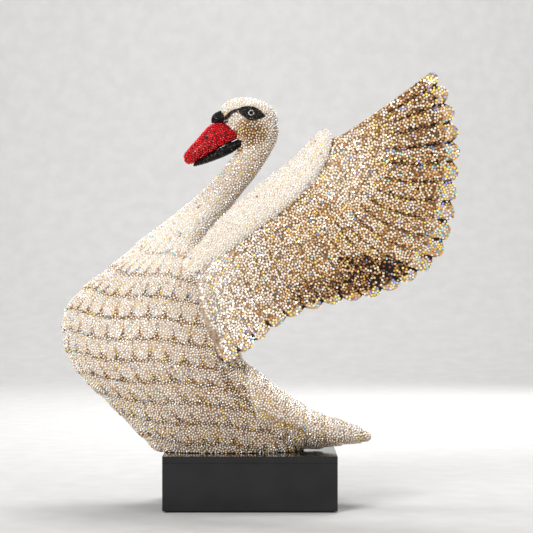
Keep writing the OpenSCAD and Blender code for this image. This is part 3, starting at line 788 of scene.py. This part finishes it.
def facet_tints(level, contrast, coated, random, warm=0.0):
    """Material numbers for every face of every stone.

    level is how dark a stone is, from 0 for pale to 5 for dark, contrast how much its
    facets differ in painted reflections, coated the chance that it has a coloured coat, and
    warm the chance that its tints are warm.
    """
    count = len(level)
    shade = level[:, None] + random.normal(0, STONE_SPREAD, (count, 1))
    each = PAINTED_FACET_GLINT + random.normal(0, FACET_SPREAD, (count, SIDES + 2))
    facets = shade + each * contrast[:, None]
    cool_tints = np.array([TINT_INDEX[name] for name in COOL])
    warm_tints = np.array([TINT_INDEX[name] for name in WARM])
    steps = np.clip(np.round(facets), 0, PALE_TO_DARK).astype(int)
    is_warm = random.random((count, 1)) < np.reshape(warm, (-1, 1))
    tints = np.where(is_warm, warm_tints[steps], cool_tints[steps])
    has_coat = random.random(count) < coated
    numbers = np.array([TINT_INDEX[name] for name in COATED])
    colour = numbers[random.choice(len(COATED), count, p=COAT_WEIGHTS)]
    painted = random.random((count, SIDES + 2)) < COAT_SHOWS
    return np.where(has_coat[:, None] & painted, colour[:, None], tints)


STONE_MATERIALS = [stone_material(name, colour) for name, colour in TINTS.items()]


def set_stones(name, places, normals, diameters, tints, random, slot="crystal_clear", nodes=()):
    """Pieces that hold all these stones, split so that none is too heavy."""
    groups = max(1, math.ceil(len(places) / MOST_STONES))
    order = np.argsort(places[:, 2], kind="stable")
    for i, part in enumerate(np.array_split(order, groups)):
        title = name if groups == 1 else f"{name}_{i + 1}"
        mesh = stone_mesh(
            title, places[part], normals[part], diameters[part], tints[part], random
        )
        make_piece(title, mesh, STONE_MATERIALS, nodes)


def stone_sizes(count, pitch, random):
    """Diameters for stones that nearly fill their pitch."""
    return pitch * random.uniform(0.93, 1.0, count)


# ---------- The tail ----------

TAIL_COLUMNS = 7
TAIL_ROW = 24 * MM
TAIL_SHAPE = 2.6
TAIL_ROUNDING = 0.5
TAIL_LIFT = 1.5 * MM


def tail_feathers(points):
    """Height, edge distance and cover of the tail's feathers, whose tips point back along X."""
    low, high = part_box("tail")
    wide = high.y - low.y
    x, y, z = points.T
    along = (high.x - x) / TAIL_ROW
    share = (x - low.x) / (high.x - low.x)
    over = np.where(z > (low.z + 14 * MM + (high.x - x) * 0.25), 0.0, 0.5)
    column = y / (wide * (1.05 - 0.75 * share)) * TAIL_COLUMNS + over
    return tiles(column, along + 0.5, TAIL_ROUNDING, TAIL_SHAPE)


def tail_casting():
    """The tail with its overlapping feathers."""
    mesh = remeshed(joined_copy(["tail"]), 1.8 * MM, 4)
    points, _, _ = triangles(mesh)
    normals = vertex_normals(mesh)
    height, _, _ = tail_feathers(points)
    lift = TAIL_LIFT * (height - 0.4) * smoothstep(0.3, 0.6, np.abs(normals[:, 2]))
    points += normals * lift[:, None]
    mesh.vertices.foreach_set("co", points.ravel())
    mesh.update()
    keep_shade(mesh, np.full(len(points), 0.8))
    return mesh


# ---------- Where each kind of stone goes ----------


def keep_faces(mesh, keep):
    """The mesh's points and those of its triangles whose faces are kept."""
    points, corners, owner = triangles(mesh)
    return points, corners[keep[owner]]


def others(*names):
    """The surfaces that could cover a stone, without those named."""
    return [tree for name, tree in trees.items() if name not in names]


# The black patch at the foot of the knob: X and Z
KNOB_FOOT = ((-44, 477), (-31, 480))
KNOB_FOOT_WIDTH = 4.5
# How far the body's stones keep off the masks, the bill and the knob
FACE_CLEAR = 1.3 * MM


def clear_of_face(places):
    """True for the points that keep off the masks, the bill and the knob."""
    parts = ("upper_bill", "lower_bill", "bill_knob", "left_eye_mask", "right_eye_mask")
    clear = np.ones(len(places), dtype=bool)
    for i in np.flatnonzero(places[:, 2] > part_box("lower_bill")[0].z):
        clear[i] = all(trees[part].find_nearest(Vector(places[i]))[3] > FACE_CLEAR for part in parts)
    return clear


def swan_stones(mesh, slices):
    """Stones over the outside of the body, neck and head."""
    random = np.random.default_rng(11)
    count = len(mesh.polygons)
    centres, normals = np.empty((count, 3)), np.empty((count, 3))
    mesh.polygons.foreach_get("center", centres.ravel())
    mesh.polygons.foreach_get("normal", normals.ravel())
    outer = faces_out(centres, normals, slices)
    outer &= centres[:, 2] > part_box("body_shell")[0].z + 1 * MM
    points, corners = keep_faces(mesh, outer)
    places, axes, _ = scatter(points, corners, STONE_PITCH, 1)
    seen = ~covered(places, axes, others("skin")) & clear_of_face(places)
    places, axes = places[seen], axes[seen]
    x, _, z = places.T
    warm = np.maximum(0.2, cheek_and_chin_shadow(x, z))
    tints = facet_tints(*swan_level(places, slices), random, warm)
    foot = near_path(x, z, KNOB_FOOT, KNOB_FOOT_WIDTH) > 0
    tints[foot] = chosen_tints(foot.sum(), BLACK_SHARES, random)
    sizes = stone_sizes(len(places), STONE_PITCH, random)
    for name, low, high in (
        ("body_stones", -1, SEAM_LOW),
        ("neck_stones", SEAM_LOW, SEAM_HIGH),
        ("head_stones", SEAM_HIGH, 9),
    ):
        part = (z >= low) & (z < high)
        set_stones(name, places[part], axes[part], sizes[part], tints[part], random)


# The edge of the feather under which a shadow line is painted, over the painted shade low on the wing: X and
# Z
DARK_LINE = ((110, 302), (150, 305), (180, 296), (204, 283))


def wing_level(u, v, x, z, edge):
    """How dark a wing is, how much its facets differ, and the chance of a coat."""
    tips = (1 - v) * FEATHER_LENGTH < np.where(u > 0.5, TIP_BAND, 0.6 * TIP_BAND)
    # Painted shade: a patch low on the rear of the wing and one by the flank, a line under the feather edge
    # above them, and dark notches between the tips
    dark = near_patch(x, z, (163, 284), (85, 25))
    flank = near_patch(x, z, (85, 262), (75, 28))
    hand = smoothstep(0.55, 0.9, u) * smoothstep(0.3, 0.8, v)
    flight = smoothstep(0.3, 0.55, v) * smoothstep(0.3, 0.5, u)
    across = (u * FLIGHT_FEATHERS) % 1
    shadow = (1 - smoothstep(0.0, 0.35, across)) * flight
    light = near_patch(x, z, (120, 400), (60, 45))
    root = 1 - smoothstep(0.0, 0.3, u)
    streak = near_patch(x, z, (-28, 318), (30, 24))
    edge_shadow = near_path(x, z, DARK_LINE, 9)
    level = 0.95 + 0.75 * v + 1.4 * dark + 1.1 * flank + 0.7 * hand + 1.6 * shadow - 0.25 * light
    level = level * (1 - 0.5 * root) + 1.6 * edge_shadow
    contrast = 0.8 + 0.45 * v + 0.4 * hand + 0.6 * dark
    line = ((across > 0.84) & (flight > 0.5)) | ((edge < 0.08) & ~tips) | (streak > 0.5)
    coated = np.where(tips, 0.8, np.where(line, 0.4, 0.08))
    notch_shadow = in_notch(u, v)
    return np.where(tips, 0.8 + 3.2 * notch_shadow, level), contrast, coated * ~notch_shadow


def in_notch(u, v):
    """True in the cut between two feather tips, where a dark shadow is painted."""
    from_side = 0.5 - np.abs((u * FLIGHT_FEATHERS) % 1 - 0.5)
    return (v > 0.93) & (from_side < 0.07)


def wing_stones(wing):
    """Stones over both faces and the rim of each wing."""
    random = np.random.default_rng(12)
    points, corners, owner = triangles(wing.mesh)
    places, axes, found = scatter(points, corners, STONE_PITCH, 2)
    face = owner[found]
    root = (wing.face_u[face] < ROOT_BLEND) & (axes[:, 1] < -0.3)
    ways = np.where(root[:, None], (0.0, -1.0, 0.0), axes)
    seen = ~covered(places, ways, others("left_wing"))
    seen &= ~(in_notch(wing.face_u[face], wing.face_v[face]) & (wing.face_v[face] > 0.97))
    places, axes, face = places[seen], axes[seen], face[seen]
    x, _, z = places.T
    level = wing_level(wing.face_u[face], wing.face_v[face], x, z, wing.face_edge[face])
    tints = facet_tints(*level, random, 0.25 + 0.75 * smoothstep(0.05, 0.4, wing.face_u[face]))
    sizes = stone_sizes(len(places), STONE_PITCH, random)
    set_stones("left_wing_stones", places, axes, sizes, tints, random)
    flip = np.array([1, -1, 1])
    set_stones("right_wing_stones", places * flip, axes * flip, sizes, tints, random)


def arm_stones(mesh):
    """The smooth pale band of stones along the front of each wing."""
    random = np.random.default_rng(13)
    points, corners, _ = triangles(mesh)
    places, axes, _ = scatter(points, corners, STONE_PITCH, 3)
    seen = ~covered(places, axes, others("left_arm"), 10 * MM)
    places, axes = places[seen], axes[seen]
    count = len(places)
    tints = facet_tints(np.full(count, 0.6), np.full(count, 0.9), np.full(count, 0.06), random)
    sizes = stone_sizes(count, STONE_PITCH, random)
    set_stones("left_arm_stones", places, axes, sizes, tints, random)
    flip = np.array([1, -1, 1])
    set_stones("right_arm_stones", places * flip, axes * flip, sizes, tints, random)


def tail_stones(mesh):
    """Stones over the tail, brightest on top, with painted shade underneath, under each feather's tip and
    along the flank's edge.
    """
    random = np.random.default_rng(14)
    points, corners, _ = triangles(mesh)
    places, axes, _ = scatter(points, corners, STONE_PITCH, 4)
    seen = ~covered(places, axes, others("tail"))
    places, axes = places[seen], axes[seen]
    seen = places[:, 2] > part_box("tail")[0].z + 0.5 * MM
    places, axes = places[seen], axes[seen]
    _, edge, cover = tail_feathers(places)
    rim = edge < 0.08
    # Painted shade: darker where the stones face down, under each feather's tip and along the flank's edge
    under = 1 - smoothstep(-0.6, 0.0, axes[:, 2])
    flank = near_path(places[:, 0], places[:, 2], FLANK_LINE, 4)
    level = 0.35 + 0.9 * under + 0.8 * (cover < 0.12) + 1.2 * flank
    count = len(places)
    tints = facet_tints(level, np.full(count, 0.9), np.where(rim | (flank > 0.3), 0.5, 0.06), random, 0.3)
    set_stones("tail_stones", places, axes, stone_sizes(count, STONE_PITCH, random), tints, random)


def chosen_tints(count, shares, random):
    """Material numbers for every face of every stone, drawn by share from the tints named."""
    numbers = np.array([TINT_INDEX[name] for name in shares])
    weights = np.array(list(shares.values()), dtype=float)
    return numbers[random.choice(len(numbers), (count, SIDES + 2), p=weights / weights.sum())]


def node_stones(name, node, pitch, shares, seed, skip, near_side=False, clear_of=None, slot="crystal_black"):
    """Stones over one CAD node, coloured by shares, without those that another surface covers."""
    random = np.random.default_rng(seed)
    points, corners, _ = triangles(NODES[node].data)
    places, axes, _ = scatter(points, corners, pitch, seed)
    seen = ~covered(places, axes, others(node, *skip), 3 * MM)
    if near_side:
        seen &= axes[:, 1] * np.sign(places[:, 1]) > 0.3
    if clear_of:
        middle, radius = clear_of
        seen &= np.hypot(places[:, 0] - middle.x, places[:, 2] - middle.z) > radius
    places, axes = places[seen], axes[seen]
    tints = chosen_tints(len(places), shares, random)
    sizes = stone_sizes(len(places), pitch, random)
    set_stones(name, places, axes, sizes, tints, random, slot)


RED_SHARES = {"red": 0.68, "garnet": 0.08, "pink": 0.14, "jet": 0.10}
BLACK_SHARES = {"jet": 0.72, "grey": 0.10, "dark": 0.18}
MASK_SHARES = {"jet": 0.58, "grey": 0.26, "dark": 0.1, "taupe": 0.06}
EYE_SHARES = {"clear": 0.35, "pearl": 0.25, "oat": 0.2, "grey": 0.2}


NOSTRIL_CLEAR = 2.7 * MM


def bill_stones():
    """Red stones on the upper bill, black ones on the lower bill and the knob."""
    low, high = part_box("nostril_crystals")
    nostril = ((low + high) / 2, NOSTRIL_CLEAR)
    node_stones(
        "upper_bill_stones", "upper_bill", BILL_PITCH, RED_SHARES, 15, (), clear_of=nostril,
        slot="crystal_red",
    )
    node_stones("lower_bill_stones", "lower_bill", BILL_PITCH, BLACK_SHARES, 16, ())
    node_stones("knob_stones", "bill_knob", 2.6 * MM, BLACK_SHARES, 17, ())


EYE_RING_STONES = 10
EYE_RING_STONE = 2.0 * MM
PUPIL_STONE = 3.8 * MM
EYE_CLEAR_ROUND = 4.6 * MM


def eye_stones():
    """Fine black stones on each mask, and the eye: a ring of clear stones round a black one."""
    random = np.random.default_rng(19)
    for side in ("left", "right"):
        sign = -1 if side == "left" else 1
        mask, eye = side + "_eye_mask", side + "_eye_crystals"
        low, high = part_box(eye)
        middle = (low + high) / 2
        radius = (high.x - low.x - EYE_RING_STONE) / 2
        node_stones(
            side + "_mask_stones", mask, MASK_PITCH, MASK_SHARES, 18, (eye,), near_side=True,
            clear_of=(middle, EYE_CLEAR_ROUND),
        )
        turns = np.arange(EYE_RING_STONES) * math.tau / EYE_RING_STONES
        ring = [(middle.x + radius * math.cos(t), middle.z + radius * math.sin(t)) for t in turns]
        seats = [trees[mask].ray_cast(Vector((x, sign, z)), Vector((0, -sign, 0))) for x, z in ring]
        places = np.array([hit[0] for hit in seats])
        axes = np.array([hit[1] for hit in seats])
        tints = chosen_tints(len(ring), EYE_SHARES, random)
        sizes = np.full(len(ring), EYE_RING_STONE)
        set_stones(side + "_eye_ring", places, axes, sizes, tints, random, "crystal_clear", (eye,))
        seat = trees[mask].ray_cast(Vector((middle.x, sign, middle.z)), Vector((0, -sign, 0)))
        tints = chosen_tints(1, BLACK_SHARES, random)
        sizes = np.array([PUPIL_STONE])
        pupil = np.array([seat[0]]), np.array([seat[1]])
        set_stones(side + "_pupil", *pupil, sizes, tints, random, "crystal_black")


# ---------- Setting the scene ----------


FLOOR_HALF = 5.0
COVE_START = 2.6
COVE_RADIUS = 1.4
COVE_STEPS = 16
WALL_TOP = 4.5


def stage():
    """A pale floor that curves up into a backdrop, and soft studio lights."""
    profile = [(-FLOOR_HALF, 0.0)]
    for i in range(COVE_STEPS + 1):
        turn = math.pi / 2 * i / COVE_STEPS
        y = COVE_START + COVE_RADIUS * math.sin(turn)
        profile.append((y, COVE_RADIUS * (1 - math.cos(turn))))
    profile.append((COVE_START + COVE_RADIUS, WALL_TOP))
    points = [(x, y, z) for x in (-FLOOR_HALF, FLOOR_HALF) for y, z in profile]
    count = len(profile)
    faces = [(i, count + i, count + i + 1, i + 1) for i in range(count - 1)]
    mesh = bpy.data.meshes.new("floor")
    mesh.from_pydata(points, [], faces)
    mesh.shade_smooth()
    floor = bpy.data.objects.new("floor", mesh)
    bpy.context.scene.collection.objects.link(floor)
    paper = speckled("floor_paper", (0.56, 0.555, 0.545), (0.60, 0.595, 0.585), 40, 0.9, bump=0.02)
    mesh.materials.append(paper)
    world = bpy.data.worlds.new("studio")
    bpy.context.scene.world = world
    world.use_nodes = True
    world.node_tree.nodes["Background"].inputs["Color"].default_value = (0.60, 0.60, 0.61, 1)
    world.node_tree.nodes["Background"].inputs["Strength"].default_value = 0.54
    bpy.context.scene.view_settings.view_transform = "Standard"
    middle = (CAD_BOX[0] + CAD_BOX[1]) / 2
    soft_light("key", (-1.2, -2.1, 1.3), middle, 1.0, 58)
    soft_light("fill", (1.6, -1.6, 0.7), middle, 0.8, 8)
    soft_light("top", (0.3, 0.4, 1.9), middle, 0.8, 12)
    soft_light("back", (0.9, 1.9, 1.2), middle, 0.9, 18)
    soft_light("backdrop", (0.0, 1.2, 2.6), Vector((0, 3.6, 0.6)), 1.6, 80)


def soft_light(name, place, target, size, power):
    """A square soft light that faces its target."""
    data = bpy.data.lights.new(name, "AREA")
    data.shape = "SQUARE"
    data.size = size
    data.energy = power
    light = bpy.data.objects.new(name, data)
    bpy.context.scene.collection.objects.link(light)
    light.location = place
    light.rotation_euler = (target - Vector(place)).to_track_quat("-Z", "Y").to_euler()


VIEW_WIDTH = 0.66625
CAMERA_DISTANCE = 2.5
CAMERA_AT = (0.020, 0.2976)


def camera():
    """Looks level at the swan's left side, as the photo does."""
    data = bpy.data.cameras.new("camera")
    data.sensor_width = 36
    data.lens = data.sensor_width * CAMERA_DISTANCE / VIEW_WIDTH
    view = bpy.data.objects.new("camera", data)
    bpy.context.scene.collection.objects.link(view)
    view.location = (CAMERA_AT[0], -CAMERA_DISTANCE, CAMERA_AT[1])
    view.rotation_euler = (math.radians(90), 0, 0)
    bpy.context.scene.camera = view


def finish_plinth_and_frame():
    """Materials for every CAD node that stays: the plinth, the frame inside and the bill's lacquer."""
    gloss = speckled(
        "black_gloss", (0.004, 0.004, 0.005), (0.008, 0.008, 0.009), 30, 0.12, coat=0.25, bump=0.01
    )
    gloss.node_tree.nodes["Principled BSDF"].inputs["Specular IOR Level"].default_value = 0.3
    felt = speckled("black_felt", (0.008, 0.008, 0.009), (0.05, 0.05, 0.055), 0.8, 0.95, bump=0.9)
    felt.node_tree.nodes["Principled BSDF"].inputs["Sheen Weight"].default_value = 0.5
    plywood = speckled(
        "birch_plywood", (0.38, 0.23, 0.11), (0.62, 0.45, 0.27), 6, 0.6, bump=0.2, stretch=(0.2, 1, 5)
    )
    steel = speckled(
        "brushed_steel", (0.34, 0.34, 0.35), (0.58, 0.58, 0.60), 1.5, 0.32, metal=1.0, bump=0.15,
        stretch=(1, 1, 0.1),
    )
    aluminium = speckled(
        "milled_aluminium", (0.56, 0.57, 0.58), (0.76, 0.77, 0.78), 1.2, 0.36, metal=1.0, bump=0.15,
        stretch=(0.1, 1, 1),
    )
    brass = speckled(
        "turned_brass", (0.44, 0.29, 0.10), (0.72, 0.52, 0.22), 1.0, 0.3, metal=1.0, bump=0.1
    )
    red = speckled("bill_lacquer", (0.04, 0.001, 0.002), (0.30, 0.005, 0.008), 1.5, 0.5)
    black = speckled("black_lacquer", (0.003, 0.003, 0.003), (0.010, 0.009, 0.009), 1.5, 0.5)
    for lacquer in (red, black):
        lacquer.node_tree.nodes["Principled BSDF"].inputs["Specular IOR Level"].default_value = 0.15
    cut_black = speckled("black_glass", (0.004, 0.004, 0.004), (0.02, 0.02, 0.02), 2, 0.1, coat=1.0)
    sides = [f"plinth_{side}_panel" for side in ("top", "front", "back", "left", "right")]
    finish_nodes(round_edges(gloss, 1.2 * MM), *sides)
    finish_nodes(felt, "felt_base")
    finish_nodes(plywood, "plinth_bottom_board", "plinth_corner_blocks", "plinth_backing_plate")
    finish_nodes(plywood, "foot_plate", "keel_board", "neck_joint_plate", "head_plug")
    finish_nodes(steel, "anchor_bolts", "anchor_washers", "wing_rods", "neck_rod")
    finish_nodes(aluminium, "keel_brackets", "rod_collars")
    finish_nodes(brass, "bottom_board_screws", "threaded_inserts", "bracket_screws")
    finish_nodes(brass, "bill_pins", "tail_pins")
    finish_nodes(red, "upper_bill")
    finish_nodes(black, "lower_bill", "bill_knob", "left_eye_mask", "right_eye_mask")
    finish_nodes(cut_black, "nostril_crystals")


def tree_of(mesh):
    points, corners, _ = triangles(mesh)
    return BVHTree.FromPolygons(points.tolist(), corners.tolist())


stage()
camera()

BED = adhesive("setting_bed")
finish_plinth_and_frame()

# The swan's castings
skin, slices = swan_skin()
make_piece("body_casting", cut_between(skin, None, SEAM_LOW), [BED], ["body_shell"])
make_piece("neck_casting", cut_between(skin, SEAM_LOW, SEAM_HIGH), [BED], ["neck_shell"])
make_piece("head_casting", cut_between(skin, SEAM_HIGH, None), [BED], ["head_shell"])
wing = WingSkin(tree_of(skin))
right_wing = mirrored(wing.mesh)
make_piece("left_wing_feathers", wing.mesh, [BED], ["left_wing_fan"])
make_piece("right_wing_feathers", right_wing, [BED], ["right_wing_fan"])
tail_skin = tail_casting()
make_piece("tail_feathers", tail_skin, [BED], ["tail"])
left_arm = arm_casting()
make_piece("left_arm_casting", left_arm, [BED], ["left_wing_arm"])
right_arm = mirrored(left_arm)
make_piece("right_arm_casting", right_arm, [BED], ["right_wing_arm"])

trees = {
    "skin": tree_of(skin),
    "left_wing": tree_of(wing.mesh),
    "right_wing": tree_of(right_wing),
    "tail": tree_of(tail_skin),
    "left_arm": tree_of(left_arm),
    "right_arm": tree_of(right_arm),
}
for name in (
    "upper_bill", "lower_bill", "bill_knob", "left_eye_mask", "right_eye_mask", "nostril_crystals",
):
    trees[name] = tree_of(NODES[name].data)

swan_stones(skin, slices)
wing_stones(wing)
arm_stones(left_arm)
tail_stones(tail_skin)
bill_stones()
eye_stones()
